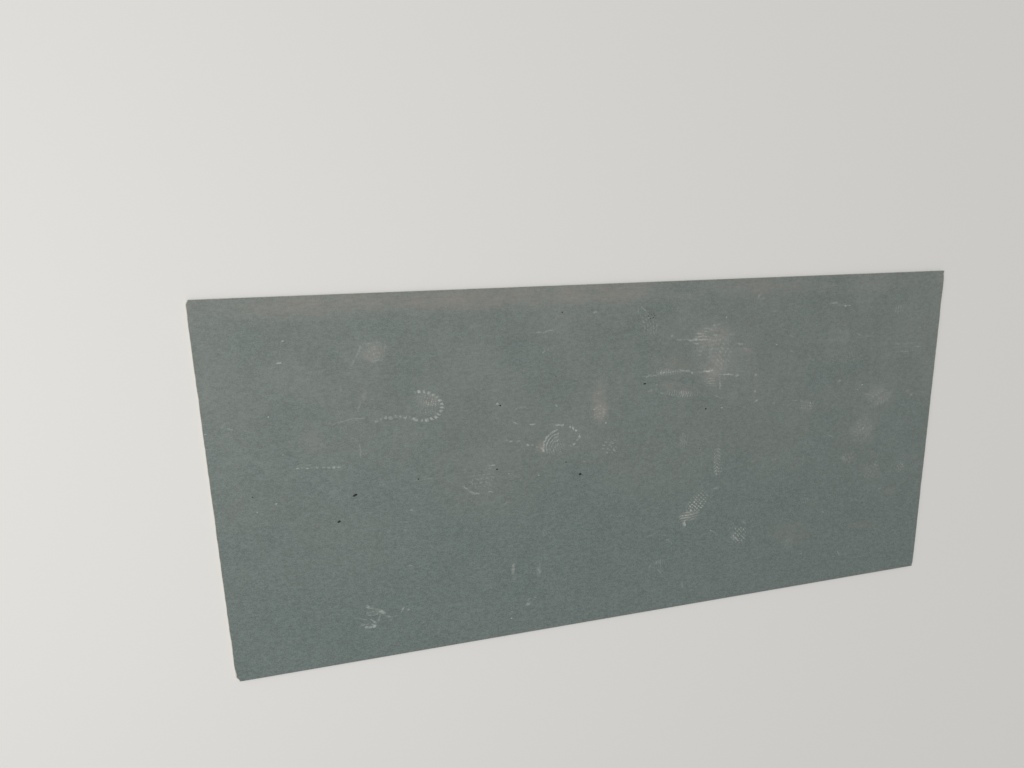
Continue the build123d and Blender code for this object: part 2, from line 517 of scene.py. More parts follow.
class Nodes:
    """A node tree with short calls for adding nodes and feeding their inputs. In a group or a
    material, here is the Object place that patterns follow.
    """

    def __init__(self, tree):
        self.tree = tree

    def feed(self, socket, value):
        """Links a socket to another, or sets its value."""
        if isinstance(value, bpy.types.NodeSocket):
            self.tree.links.new(value, socket)
        else:
            socket.default_value = value

    def add(self, kind, inputs=(), **settings):
        """Adds a node. inputs maps a socket's name or number to a value or to another socket."""
        node = self.tree.nodes.new("ShaderNode" + kind)
        for name, value in settings.items():
            setattr(node, name, value)
        for key, value in dict(inputs).items():
            self.feed(node.inputs[key], value)
        return node

    def shared(self, name, **inputs):
        """Adds one of the shared node groups with its own values. Returns what it puts out."""
        group = bpy.data.node_groups.get(name) or SHARED_GROUPS[name]()
        return self.add("Group", {"Place": self.here, **inputs}, node_tree=group).outputs

    def math(self, operation, *values, clamp=False):
        """A Math node's result."""
        node = self.add("Math", enumerate(values), operation=operation, use_clamp=clamp)
        return node.outputs[0]

    def times(self, first, *others):
        """Product of values."""
        for other in others:
            first = self.math("MULTIPLY", first, other)
        return first

    def vector(self, operation, *values):
        """A Vector Math node's result."""
        node = self.add("VectorMath", enumerate(values), operation=operation)
        return node.outputs["Value" if operation == "LENGTH" else "Vector"]

    def noise(self, cell, stretch=1, detail=3, roughness=0.6, place=None, key="Fac"):
        """Noise from 0 to 1 with cells of that size in millimetres, stretched along X."""
        finer = [1 / (cell * MM * longer) for longer in (stretch, 1, 1)]
        if place is None:
            place = self.here
        drawn = self.vector("MULTIPLY", place, finer)
        inputs = {"Vector": drawn, "Scale": 1.0, "Detail": detail, "Roughness": roughness}
        return self.add("TexNoise", inputs).outputs[key]

    def mapped(self, kind, place, spot, along, across, inputs=(), **settings):
        """A texture's value where the place is measured from a spot, which is x, y and its turn
        in degrees. The texture's units are that long along and across.
        """
        x, y, turn = spot
        node = self.add(kind, {"Vector": place, **dict(inputs)}, **settings)
        node.texture_mapping.vector_type = "TEXTURE"
        node.texture_mapping.translation = (x, y, 0)
        node.texture_mapping.rotation = (0, 0, math.radians(turn))
        node.texture_mapping.scale = (along, across, 1)
        return node.outputs["Fac"]

    def disc(self, place, spot, along, across):
        """Depth inside an ellipse of those half sizes, from 0 at its rim to 1 in its middle."""
        return self.mapped("TexGradient", place, spot, along, across, gradient_type="SPHERICAL")

    def waves(self, place, spot, pitch, lag=0.0, profile="SIN"):
        """Waves from 0 to 1 along a spot's turn, 0 at the spot. lag is their phase."""
        inputs = {"Scale": math.tau / 20, "Phase Offset": lag}
        return self.mapped("TexWave", place, spot, pitch, pitch, inputs, wave_profile=profile)

    def step(self, value, low, high, to_low=0.0, to_high=1.0):
        """Smooth step of a value from low to high."""
        inputs = {"Value": value, "From Min": low, "From Max": high, "To Min": to_low, "To Max": to_high}
        node = self.add("MapRange", inputs, interpolation_type="SMOOTHSTEP", clamp=True)
        return node.outputs["Result"]

    def mix(self, share, first, second):
        """Mix of two colours."""
        node = self.add("Mix", data_type="RGBA", clamp_factor=True)
        for number, value in ((0, share), (6, first), (7, second)):
            plain = number and not isinstance(value, bpy.types.NodeSocket)
            self.feed(node.inputs[number], (*value, 1) if plain else value)
        return node.outputs[2]

    def layers(self, tone, *masks_and_colours):
        """Lays colours over a tone in turn, each where its mask is."""
        for mask, over in masks_and_colours:
            tone = self.mix(mask, tone, over)
        return tone


class Group(Nodes):
    """A new shader node group that reads a Place and named amounts."""

    def __init__(self, name, **amounts):
        super().__init__(bpy.data.node_groups.new(name, "ShaderNodeTree"))
        self.tree.interface.new_socket("Place", in_out="INPUT", socket_type="NodeSocketVector")
        for label, default in amounts.items():
            socket = self.tree.interface.new_socket(label, in_out="INPUT", socket_type="NodeSocketFloat")
            socket.default_value = default
        self.given = self.tree.nodes.new("NodeGroupInput").outputs
        self.here = self.given["Place"]

    def give(self, **values):
        """Puts out named values. Returns the finished group."""
        for label in values:
            self.tree.interface.new_socket(label, in_out="OUTPUT", socket_type="NodeSocketFloat")
        result = self.tree.nodes.new("NodeGroupOutput").inputs
        for label, value in values.items():
            self.feed(result[label], value)
        return self.tree


class Finish(Nodes):
    """A new material with a Principled shader. shader is the shader's inputs."""

    def __init__(self, name, roughness, specular):
        self.material = bpy.data.materials.new(name)
        self.material.use_nodes = True
        super().__init__(self.material.node_tree)
        self.shader = self.tree.nodes["Principled BSDF"].inputs
        self.shader["Roughness"].default_value = roughness
        self.shader["Specular IOR Level"].default_value = specular
        self.here = self.add("TexCoord").outputs["Object"]

    def bare_plies(self, amount):
        """Mask of the plies that show at a paper's worn ends."""
        worn = self.add("Attribute", attribute_name="worn").outputs["Fac"]
        return self.shared("frayed edge", Worn=worn, Amount=amount)["Mask"]

    def close(self, tone, height, strength, distance):
        """Feeds the shader its colour, and a height for its normal with the distance in
        millimetres. Returns the finished material.
        """
        self.feed(self.shader["Base Color"], tone)
        bump = self.add("Bump", {"Height": height, "Strength": strength, "Distance": distance * MM})
        self.feed(self.shader["Normal"], bump.outputs[0])
        return self.material


# Wiped and scuffed marks of pale plaster dust: x, y, half length, half width, turn in degrees,
# strength and, where it is bent, how far its ends drop, in mm
DUST_STREAKS = (
    # Round the print near the left end
    (-890, 221, 52, 2.6, 6, 0.25, 8), (-910, 195, 18, 3, -34, 0.2), (-815, 280, 5, 3, 0, 0.45),
    (-905, 315, 6, 4, 0, 0.35), (-972, 150, 8, 8, 0, 0.2), (-875, 365, 10, 3, 0, 0.3),
    (-875, 157, 13, 2.6, -37, 0.25), (-862, 122, 22, 2.6, 90, 0.25, -4), (-1228, 222, 12, 4, -20, 0.25),
    (-1238, 238, 14, 4, 30, 0.3, 4), (-838, 298, 24, 7, 82, 0.17), (-855, 262, 20, 3, 70, 0.18),
    (-1293, 212, 7, 2.4, 8, 0.6), (-1294, 168, 9, 2.4, 4, 0.6),
    # Outline of the heel
    (-838, 440, 23, 5, 52, 0.45, 4), (-863, 398, 24, 4, 64, 0.22, 3), (-795, 453, 28, 3.2, 3, 0.27, 3),
    (-767, 438, 20, 4, 84, 0.24), (-792, 398, 20, 4, 12, 0.24), (-806, 424, 44, 34, 20, 0.1),
    # Row of dashes
    (-1050, 83, 6.4, 3.6, -5, 0.65), (-1037, 82, 5.4, 3.2, -5, 0.6), (-1021, 81, 5, 3.4, -10, 0.6),
    (-1008, 83, 5, 3.4, 0, 0.5), (-1044, 92, 12, 2.4, 4, 0.28), (-1018, 91, 12, 2.4, 0, 0.32),
    (-995, 80, 9, 4, 0, 0.7), (-975, 79, 5.4, 4, 0, 0.7), (-961, 74, 5.4, 4, 0, 0.7),
    (-945, 77, 5.4, 4, 0, 0.7), (-929, 74, 6, 4, 0, 0.7),
    # Swirl low on the left
    (-840, -431, 22, 6, -35, 0.75), (-872, -415, 22, 3, -24, 0.5), (-898, -450, 15, 3, -22, 0.45, -3),
    (-884, -470, 25, 3, -8, 0.5, 5), (-846, -452, 14, 3, 75, 0.4, -3), (-879, -405, 9, 3.6, -18, 0.5),
    (-878, -483, 21, 6, -4, 0.75, -5), (-868, -461, 16, 3, -38, 0.5), (-817, -455, 9, 4, -12, 0.4),
    (-796, -454, 10, 4, 8, 0.45), (-812, -468, 8, 3, 0, 0.3), (-771, -437, 12, 4, 52, 0.6),
    (-752, -441, 5, 5, 0, 0.35),
    # Scuffs left of the middle
    (-720, -95, 7, 4, 0, 0.4), (-742, -131, 18, 2.6, -5, 0.4), (-745, -160, 7, 4, 0, 0.3),
    (-735, -285, 8, 4, 0, 0.35), (-805, 2, 11, 3, 14, 0.35), (-662, 5, 63, 2, 0, 0.28),
    (-454, 28, 17, 3, -3, 0.55), (-462, 19, 14, 2.6, -4, 0.35), (-519, -22, 12, 3.2, 80, 0.4),
    (-508, -42, 7, 3, -56, 0.3), (-458, -63, 14, 2.6, -3, 0.4), (-545, -185, 9, 4, 0, 0.3),
    (-520, -330, 14, 3, 10, 0.35), (-410, -110, 10, 4, 20, 0.3),
    # Print in the middle
    (-367, 163, 13, 2.6, -32, 0.55), (-312, 154, 13, 2.8, -3, 0.65), (-225, 142, 14, 3.4, -3, 0.75),
    (-208, 141, 6, 4.4, 0, 0.7), (-181, 133, 3.6, 6.4, 8, 0.85), (-170, 127, 3.8, 6, 4, 0.7),
    (-160, 118, 6, 4.4, -20, 0.8), (-149, 97, 9, 3.6, 78, 0.8), (-155, 85, 6, 3.4, 36, 0.7),
    (-168, 74, 7, 3.4, 6, 0.6), (-180, 66, 9, 2.8, -8, 0.5), (-400, 108, 6, 4, -10, 0.5),
    (-385, 103, 6, 4, -10, 0.55), (-360, 100, 7, 4, -10, 0.5), (-328, 86, 6, 4, -20, 0.55),
    (-312, 82, 6, 4, -20, 0.5), (-298, 75, 6, 4, -20, 0.5), (-279, 68, 6, 4, -10, 0.5),
    (-347, 214, 24, 3, 3, 0.35, 8), (-228, 210, 8, 3, -55, 0.4), (-272, 455, 48, 2.4, 5, 0.4),
    (-262, 395, 14, 3, 20, 0.4, 4), (-85, 240, 8, 5, 0, 0.4), (-90, 510, 9, 4, 0, 0.4),
    (-130, 5, 8, 3, -45, 0.4), (108, 232, 10, 7, 20, 0.35),
    # Low in the middle
    (-391, -348, 24, 6, 85, 0.4), (-388, -385, 8, 8, 0, 0.35), (-340, -490, 8, 7, 0, 0.45),
    (-328, -470, 18, 2.6, 10, 0.35, 4), (-300, -368, 28, 9, 80, 0.35), (117, -420, 12, 4, 50, 0.3),
    (154, -442, 15, 3, -50, 0.35, 3), (150, -300, 50, 3, -8, 0.15, 8), (192, -332, 22, 4, -40, 0.2),
    (248, -515, 16, 4, 105, 0.4),
    # Upper right
    (185, 418, 6, 4, 0, 0.35), (228, 402, 34, 3, -3, 0.45), (290, 398, 46, 3.4, -1, 0.95),
    (281, 387, 24, 2.8, -2, 0.6), (300, 409, 36, 2.6, -3, 0.55), (284, 419, 24, 2.4, -8, 0.45),
    (322, 423, 24, 3, -14, 0.55), (318, 434, 20, 2.4, -10, 0.35), (350, 411, 22, 2.8, 4, 0.5),
    (444, 374, 20, 3.4, -4, 0.55), (175, 293, 80, 2.4, -2, 0.25), (238, 294, 28, 3.4, -10, 0.6),
    (252, 293, 3.4, 5, 0, 0.6), (265, 286, 3.4, 5, 0, 0.6), (318, 286, 36, 3.4, 0, 0.5),
    (330, 288, 19, 4.2, 2, 0.55), (110, 286, 40, 3, 6, 0.3), (466, 360, 26, 3, -58, 0.35),
    (350, 447, 20, 2.8, 4, 0.5), (348, 427, 22, 2.4, -4, 0.35), (270, 404, 22, 2.4, 6, 0.4),
    (130, 244, 16, 3, 80, 0.4, 3), (154, 221, 16, 3, -10, 0.4), (254, -273, 12, 4, 88, 0.4),
    (512, 536, 12, 4, 60, 0.35), (528, 528, 10, 3, 0, 0.3), (400, 269, 29, 3.6, -5, 0.75),
    (441, 262, 11, 6, 14, 0.9), (462, 275, 9, 3, 0, 0.4), (410, 410, 24, 2.4, -2, 0.25),
    (516, 259, 5, 5, 0, 0.6), (373, 243, 27, 3, 90, 0.45, 3), (362, 195, 27, 3, -30, 0.25, 5),
    (390, 186, 12, 3, 20, 0.2, -5), (515, 200, 5, 5, 0, 0.45), (522, 164, 14, 3.4, 35, 0.45),
    (60, 510, 10, 3, 90, 0.5), (80, 512, 14, 3, -40, 0.35), (583, 482, 14, 3, 15, 0.2),
    (655, 390, 12, 3, -40, 0.3), (660, 335, 16, 3, -50, 0.25), (745, 300, 13, 3, -25, 0.35),
    # Right of the middle
    (595, 150, 9, 5, -15, 0.3), (684, 153, 20, 2.6, -8, 0.35), (712, 147, 9, 2.8, -4, 0.32),
    (716, 123, 9, 3, 0, 0.25), (751, 134, 11, 3, 108, 0.28), (764, 137, 10, 3, 108, 0.24),
    (818, 500, 20, 5, 0, 0.35), (868, 490, 36, 3, -3, 0.3), (870, 210, 8, 5, 0, 0.4),
    (1002, 150, 19, 3, -2, 0.3), (940, 380, 20, 3, -15, 0.3), (985, 370, 22, 3, 0, 0.25),
    (1187, 149, 16, 4, -8, 0.25), (1205, 132, 7, 6, 0, 0.25), (1150, 335, 55, 2.6, 0, 0.28),
    (1190, 320, 55, 2.6, -2, 0.28), (1160, 305, 50, 2.6, 2, 0.25),
    # Lower right
    (612, -65, 13, 3, 0, 0.35), (738, -85, 28, 3, 85, 0.3), (852, 0, 20, 3, -25, 0.25),
    (915, -95, 18, 9, -30, 0.25), (990, 17, 15, 6, 0, 0.2), (250, -272, 12, 7, 85, 0.5),
    (375, -150, 13, 4, 8, 0.25), (374, -321, 22, 2.8, -38, 0.55, 2), (463, -359, 32, 3, -46, 0.6),
    (495, -297, 14, 5, -38, 0.5), (1100, -235, 15, 2.6, 25, 0.4), (930, -488, 13, 3, -60, 0.4),
    (756, -465, 7, 5, 0, 0.35),
    # Pale hazes
    (345, 350, 90, 120, 0, 0.12), (330, 412, 84, 44, 14, 0.12), (345, 300, 44, 60, 0, 0.12),
    (1060, 145, 60, 40, -8, 0.1), (1000, 10, 66, 70, 0, 0.08), (860, 375, 50, 30, 0, 0.12),
    (-76, 205, 36, 70, 0, 0.08),
)
# Stains of brown dust, as above
SOIL_STREAKS = (
    (-800, 428, 42, 30, 8, 0.3), (-820, 396, 26, 16, 30, 0.15), (-647, 262, 42, 26, -14, 0.25),
    (-841, 292, 34, 10, 78, 0.15), (-1000, 160, 34, 44, 0, 0.18), (-285, 72, 20, 26, 0, 0.4),
    (-76, 220, 34, 80, 0, 0.2), (-76, 175, 34, 44, 0, 0.25), (330, 412, 84, 44, 14, 0.18),
    (470, 352, 34, 9, -12, 0.3), (345, 290, 44, 60, 0, 0.18), (215, 235, 80, 24, -14, 0.3),
    (190, 310, 90, 46, 0, 0.2), (350, 350, 90, 120, 0, 0.12), (268, -243, 42, 20, 0, 0.25),
    (520, 216, 58, 13, 84, 0.15), (737, 126, 40, 26, -10, 0.15), (1060, 140, 60, 40, -8, 0.15),
    (1195, 138, 34, 20, -20, 0.12), (1000, 10, 66, 70, 0, 0.1), (945, -95, 38, 30, -20, 0.12),
    (1050, -160, 60, 30, -25, 0.12), (1150, -255, 32, 18, 0, 0.2), (1035, -380, 82, 16, -3, 0.15),
    (700, -370, 110, 60, -10, 0.12),
)
# Ribs printed along arcs: x, y of the arc's centre, radii, direction of its middle and half
# angle in degrees, half rib, pitch of the ribs along the arc (0 for an unbroken line), strength
RIB_ARCS = (
    (-757, 17, 201, 201, 88, 20, 5.0, 14.6, 0.9), (-667, 245, 63, 46, -8, 118, 5.6, 13.8, 0.8),
    (-212, 66, 63, 63, 146, 45, 3.2, 0, 0.8), (-212, 64, 53, 53, 148, 50, 2.4, 0, 0.65),
    (-214, 62, 43, 43, 152, 54, 2.2, 0, 0.5), (-216, 59, 33, 33, 156, 60, 2.2, 0, 0.5),
    (-219, 56, 22, 22, 160, 68, 2.2, 0, 0.45), (-480, 10, 79, 79, 234, 24, 3.0, 0, 0.4),
    (-867, -435, 17, 8, 0, 180, 2.6, 0, 0.6),
)
# Printed tread: x, y, half length, half width, turn in degrees, pitch, slant, cell
# (0 for lines that aren't cut) and strength
TREAD_PATCHES = (
    (-647, 262, 42, 24, -14, 7.4, 0, 7, 0.62), (-652, 225, 38, 14, 4, 7.4, 0, 7, 0.3),
    (-225, 72, 30, 34, 20, 7.5, 0, 8, 0.3), (-470, -20, 34, 56, 70, 14, 0.4, 16, 0.26),
    (-388, -18, 13, 28, 90, 7, 0, 0, 0.26), (-76, 178, 40, 28, 80, 12, 0.6, 15, 0.25),
    (-40, 48, 34, 30, 60, 13, 0.4, 24, 0.42), (-270, -230, 18, 14, 30, 8, 0, 0, 0.3),
    (100, 462, 30, 44, 30, 12, 0.5, 17, 0.4), (336, 246, 18, 26, 90, 8, 0, 0, 0.32),
    (170, 294, 56, 12, -3, 9, 0, 0, 0.4), (222, 214, 76, 12, -10, 9, 0.25, 0, 0.5),
    (240, 45, 16, 32, 0, 8.4, 0, 0, 0.25), (374, -38, 70, 15, 90, 12, 0.9, 0, 0.5),
    (384, -80, 30, 14, 80, 12, 0, 9, 0.4), (300, -197, 56, 34, 48, 10, 0, 13, 0.88),
    (268, -244, 22, 42, 94, 10, 0, 0, 0.7), (477, -346, 38, 36, 42, 10.5, 0, 15, 0.7),
    (155, -413, 26, 16, 0, 8, 0, 0, 0.3), (738, 128, 36, 20, -6, 9, 0.2, 10, 0.28),
    (925, 300, 38, 22, 0, 11, 0.3, 15, 0.28), (1110, 465, 22, 18, 0, 9.5, 0, 0, 0.35),
    (1185, -160, 24, 22, 45, 10, 0, 10, 0.4), (757, -238, 18, 20, 0, 8, 0, 14, 0.28),
    (695, -415, 20, 28, 0, 9, 0, 0, 0.22), (1050, -160, 46, 26, 60, 12, 0, 14, 0.28),
    (1060, 132, 56, 36, 20, 15, 0.4, 19, 0.2), (990, 14, 52, 46, 40, 14, 0.6, 17, 0.18),
    (940, -96, 30, 26, 10, 13, 0.4, 15, 0.2), (350, 345, 70, 80, 70, 15, 0.5, 19, 0.22),
    (-800, 428, 36, 26, 8, 9, 0, 10, 0.18),
)


def straight_pieces(x, y, half, wide, turn, bend=0):
    """A streak as straight ellipses: itself, or three along its curve if it is bent. Returns
    their spots and half sizes.
    """
    if not bend:
        return [((x, y, turn), half, wide)]
    pieces = []
    for share in (-0.64, 0, 0.64):
        local = complex(share * half, -bend * share**2) * cmath.rect(1, math.radians(turn))
        slope = math.degrees(math.atan(-2 * bend * share / half))
        pieces.append(((x + local.real, y + local.imag, turn + slope), 0.42 * half, wide))
    return pieces


def lay_streaks(nodes, place, rows):
    """Sum of streaks. Each is an ellipse whose depth goes from 0 at its rim to 1 in its middle.
    Those of one strength are joined by their deepest, which is then shaped to a soft rim.
    """
    rim = 1.22
    total = 0.0
    for strength in sorted({row[5] for row in rows}):
        deepest = 0.0
        for row in rows:
            if row[5] == strength:
                for spot, half, wide in straight_pieces(*row[:5], *row[6:]):
                    depth = nodes.disc(place, spot, half * rim, wide * rim)
                    deepest = nodes.math("MAXIMUM", depth, deepest)
        total = nodes.math("ADD", nodes.step(deepest, 0, 0.68, 0, strength), total)
    return total


def lay_arcs(nodes, place, rows, total):
    """Adds rows of ribs along arcs, as a sole's rim prints. A rib lies where the distance from
    the arc is under the half rib, the angle from its middle is under the half angle, and the
    cosine of the angle times the rate is high.
    """
    for x, y, wide, high, turn, half_angle, half_rib, pitch, strength in rows:
        spot = (x, y, turn)
        radius = (wide + high) / 2
        depth = nodes.disc(place, spot, 2 * wide, 2 * high)
        off_arc = nodes.math("ABSOLUTE", nodes.math("SUBTRACT", depth, 0.5))
        on_arc = nodes.step(off_arc, 0.625 * half_rib / radius, 0.3 * half_rib / radius)
        radial = nodes.mapped("TexGradient", place, spot, wide, high, gradient_type="RADIAL")
        turns = nodes.math("SUBTRACT", radial, 0.5)
        within = nodes.step(nodes.math("ABSOLUTE", turns), half_angle / 360, 0.93 * half_angle / 360)
        mask = nodes.times(on_arc, within)
        if pitch:
            rate = math.tau * math.tau * radius / pitch
            ribs = nodes.step(nodes.math("COSINE", nodes.times(turns, rate)), -0.55, 0.25)
            mask = nodes.times(mask, ribs)
        total = nodes.math("MULTIPLY_ADD", mask, strength, total)
    return total


def lay_treads(nodes, place, rows, total):
    """Adds patches of printed tread, each inside a soft ellipse: lines across its axis that slant
    away from it on both sides, cut into cells along it.
    """
    rim = 1.1
    for x, y, half, wide, turn, pitch, slant, cell, strength in rows:
        spot, crosswise = (x, y, turn), (x, y, turn + 90)
        lag = 0.0
        if slant:
            off_axis = nodes.waves(place, crosswise, 4 * wide, profile="TRI")
            lag = nodes.times(off_axis, math.tau * slant * 2 * wide / pitch)
        lines = nodes.step(nodes.waves(place, spot, pitch, lag), 0.4, 0.85)
        if cell:
            lines = nodes.times(lines, nodes.step(nodes.waves(place, crosswise, cell), 0.9, 0.5))
        window = nodes.step(nodes.disc(place, spot, half * rim, wide * rim), 0, 0.41)
        total = nodes.math("MULTIPLY_ADD", nodes.times(lines, window), strength, total)
    return total


def marks_group():
    """All the marks on the face, as two masks that add up each mark times its strength. Their
    outlines wander by a slow noise, and a quick one thins them.
    """
    nodes = Group("face marks")
    flat = nodes.vector("MULTIPLY", nodes.here, (1 / MM, 1 / MM, 0))
    wander = nodes.vector("SUBTRACT", nodes.noise(15, key="Color"), (0.5, 0.5, 0.5))
    place = nodes.vector("ADD", flat, nodes.vector("MULTIPLY", wander, (14, 14, 0)))
    dust = lay_streaks(nodes, place, DUST_STREAKS)
    dust = lay_arcs(nodes, place, RIB_ARCS, dust)
    dust = lay_treads(nodes, place, TREAD_PATCHES, dust)
    soil = lay_streaks(nodes, place, SOIL_STREAKS)
    grit = nodes.step(nodes.noise(5, 1, 2), 0.34, 0.6, 0.2, 1.0)
    patch = nodes.noise(26, 1, 2, 0.5)
    thin = nodes.times(grit, nodes.step(patch, 0.34, 0.6, 0.4, 1.1))
    dust = nodes.math("MULTIPLY", dust, thin, clamp=True)
    soil = nodes.math("MULTIPLY", soil, nodes.step(patch, 0.3, 0.62, 0.4, 1.0), clamp=True)
    return nodes.give(Dust=dust, Soil=soil)


def lining_paper_group():
    """Paper made of short fibres that lie mostly along X: a fine tone, sparse pale fibres, slow
    clouds, and the height of the surface.
    """
    nodes = Group("lining paper")
    mottle = nodes.times(nodes.noise(8, 1.6, 2), 0.3)
    tone = nodes.math("MULTIPLY_ADD", nodes.noise(2.6, 1.5, 3, 0.7), 0.7, mottle)
    fibres = 0.0
    for turn, cell in ((0.22, 0.5), (-0.3, 0.42), (1.1, 0.6)):
        turned = nodes.add("Mapping", {"Vector": nodes.here, "Rotation": (0, 0, turn)}).outputs[0]
        strands = nodes.step(nodes.noise(cell, 14, 1, 0.5, turned), 0.64, 0.76)
        fibres = nodes.math("MAXIMUM", strands, fibres)
    clouds = nodes.noise(190, 1.6, 3, 0.55)
    height = nodes.math("MULTIPLY_ADD", fibres, 0.3, tone)
    return nodes.give(Tone=tone, Fibres=fibres, Clouds=clouds, Height=height)


def site_dust_group():
    """Fine dust that settles in drifts: grains thinned by two sizes of patch."""
    nodes = Group("site dust", Drift=0.12, Amount=0.5)
    finer = nodes.math("DIVIDE", 1.0, nodes.given["Drift"])
    drawn = nodes.add("VectorMath", {0: nodes.here, "Scale": finer}, operation="SCALE").outputs[0]
    drift = nodes.add("TexNoise", {"Vector": drawn, "Scale": 1.0, "Detail": 4.0, "Roughness": 0.6})
    drift = nodes.step(drift.outputs["Fac"], 0.3, 0.7, 0.35, 1.0)
    smear = nodes.step(nodes.noise(15, 1.7), 0.3, 0.66, 0.7, 1.0)
    grains = nodes.step(nodes.noise(2.6, 1, 2), 0.3, 0.6, 0.6, 1.0)
    return nodes.give(Mask=nodes.times(drift, smear, grains, nodes.given["Amount"]))


def frayed_edge_group():
    """Plies that show where paper is worn: how worn it is, made ragged by noise."""
    nodes = Group("frayed edge", Worn=0.0, Amount=0.75)
    ragged = nodes.math("MULTIPLY_ADD", nodes.noise(5), 0.9, nodes.given["Worn"])
    return nodes.give(Mask=nodes.step(ragged, 0.95, 1.3, 0, nodes.given["Amount"]))


# Node groups by name, each made when a material first places it
SHARED_GROUPS = {
    "face marks": marks_group,
    "lining paper": lining_paper_group,
    "site dust": site_dust_group,
    "frayed edge": frayed_edge_group,
}

# Stage, in metres: half the floor's side, and where it starts and ends fading into the backdrop
FLOOR_HALF = 14.0
FLOOR_FADE = (4.2, 9.5)
WORLD_LIGHT = 0.44
# Lamps: name, kind, place, target, power, and the angle of a far one in degrees or the size of
# a near one
LAMPS = (
    ("key_lamp", "SUN", (-2.6, 1.9, 2.9), (-0.3, 0, 0), 1.42, 35),
    ("side_lamp", "AREA", (-3.4, 0.6, 3.0), (-0.2, 0, 0), 46, 2.4),
)


def shade(tone, factor):
    """A colour with its light multiplied."""
    return tuple(channel * factor for channel in tone)


def recess_dust(nodes, along, across):
    """Brown dust in the recess at +Y: strongest 16 to 38 mm in from the nose, in streaks that run
    along it. Most lies left of the middle, and it thins out towards both ends.
    """
    inner = nodes.step(across, HALF_WIDTH - 85 * MM, HALF_WIDTH - 38 * MM)
    outer = nodes.step(across, HALF_WIDTH, HALF_WIDTH - 16 * MM, 0.6, 1.0)
    left = nodes.step(along, -1.25, -0.95, 0.3, 1)
    right = nodes.step(along, -0.5, 0.6, 1, 0.55)
    drifts = nodes.step(nodes.noise(90, 2.2), 0.34, 0.64, 0.15, 1.0)
    streaks = nodes.step(nodes.noise(6, 9), 0.3, 0.66, 0.45, 1.0)
    return nodes.times(inner, outer, left, right, drifts, streaks, 0.5)


def face_paper_material(colours):
    """Green lining paper under a veil of dust, with the marks, the dusty recess, scuffed noses
    and bare plies at the worn ends.
    """
    nodes = Finish("face_paper", 0.68, 0.35)
    paper = nodes.shared("lining paper")
    marks = nodes.shared("face marks")
    along, across = nodes.add("SeparateXYZ", {0: nodes.here}).outputs[:2]
    higher = nodes.step(across, -0.5, 0.4, 0.3, 1.0)
    veil = nodes.times(nodes.shared("site dust", Drift=0.2, Amount=0.14)["Mask"], higher)
    elsewhere = nodes.vector("ADD", nodes.here, (3, 1, 0))
    soil = nodes.shared("site dust", Place=elsewhere, Drift=0.3, Amount=0.26)["Mask"]
    soil = nodes.math("ADD", nodes.times(soil, higher), recess_dust(nodes, along, across))
    soil = nodes.math("ADD", soil, marks["Soil"], clamp=True)
    dark, pale, cloudy = (shade(colours.paper, factor) for factor in (0.7, 1.31, 0.8))
    nose = nodes.step(nodes.math("ABSOLUTE", across), HALF_WIDTH - 1.6 * MM, HALF_WIDTH - 0.2 * MM)
    rubbed = nodes.step(nodes.noise(9, 3, 4), 0.46, 0.72, 0, 0.5)
    tone = nodes.layers(
        nodes.mix(nodes.step(paper["Tone"], 0.34, 0.66), dark, pale),
        (nodes.step(paper["Clouds"], 0.35, 0.7, 0, 0.06), cloudy),
        (nodes.times(paper["Fibres"], 0.16), colours.fibre),
        (soil, colours.soil),
        (veil, colours.dust),
        (marks["Dust"], colours.dust),
        (nodes.times(nose, rubbed), colours.ply),
        (nodes.bare_plies(0.75), colours.ply),
    )
    dusty = nodes.math("ADD", nodes.math("ADD", marks["Dust"], soil), veil)
    nodes.feed(nodes.shader["Roughness"], nodes.step(dusty, 0, 0.8, 0.6, 0.85))
    return nodes.close(tone, paper["Height"], 0.3, 0.25)


def gypsum_material(colours):
    """Broken gypsum: pale, matt and full of small bubbles, each darkened in its middle as painted shade,
    with drifts of brown dust.
    """
    nodes = Finish("gypsum_core", 0.95, 0.15)
    tone = nodes.mix(nodes.noise(14, roughness=0.5), shade(colours.core, 0.88), colours.core)
    bubbles = nodes.add("TexVoronoi", {"Vector": nodes.here, "Scale": 1 / (0.9 * MM), "Randomness": 1.0})
    pit_depth_and_shade = nodes.step(bubbles.outputs["Distance"], 0.12, 0.3)
    # Painted shade: each bubble's middle is darkened to stand for the shade in its hollow
    tone = nodes.mix(pit_depth_and_shade, shade(colours.core, 0.62), tone)
    tone = nodes.mix(nodes.shared("site dust", Drift=0.03, Amount=0.25)["Mask"], tone, colours.soil)
    height = nodes.math("MULTIPLY_ADD", nodes.noise(1.1), 0.6, pit_depth_and_shade)
    return nodes.close(tone, height, 0.6, 0.3)


def back_paper_material(colours):
    """Grey-brown lining paper of the back, with drifts of dust and bare plies at the worn ends."""
    nodes = Finish("back_paper", 0.85, 0.2)
    paper = nodes.shared("lining paper")
    dark, pale, cloudy, fibre = (shade(colours.back, factor) for factor in (0.9, 1.06, 0.75, 1.35))
    tone = nodes.layers(
        nodes.mix(nodes.step(paper["Tone"], 0.3, 0.7), dark, pale),
        (nodes.step(paper["Clouds"], 0.35, 0.7, 0, 0.2), cloudy),
        (nodes.times(paper["Fibres"], 0.3), fibre),
        (nodes.shared("site dust", Drift=0.09, Amount=0.35)["Mask"], colours.dust),
        (nodes.bare_plies(0.6), colours.ply),
    )
    return nodes.close(tone, paper["Height"], 0.35, 0.25)


def blob_material(name, tone, roughness):
    """Something dried on the face: its colour, mottled, with fine grit."""
    nodes = Finish(name, roughness, 0.25)
    mottled = nodes.mix(nodes.noise(2.2), shade(tone, 0.78), shade(tone, 1.08))
    return nodes.close(mottled, nodes.noise(0.6), 0.4, 0.2)


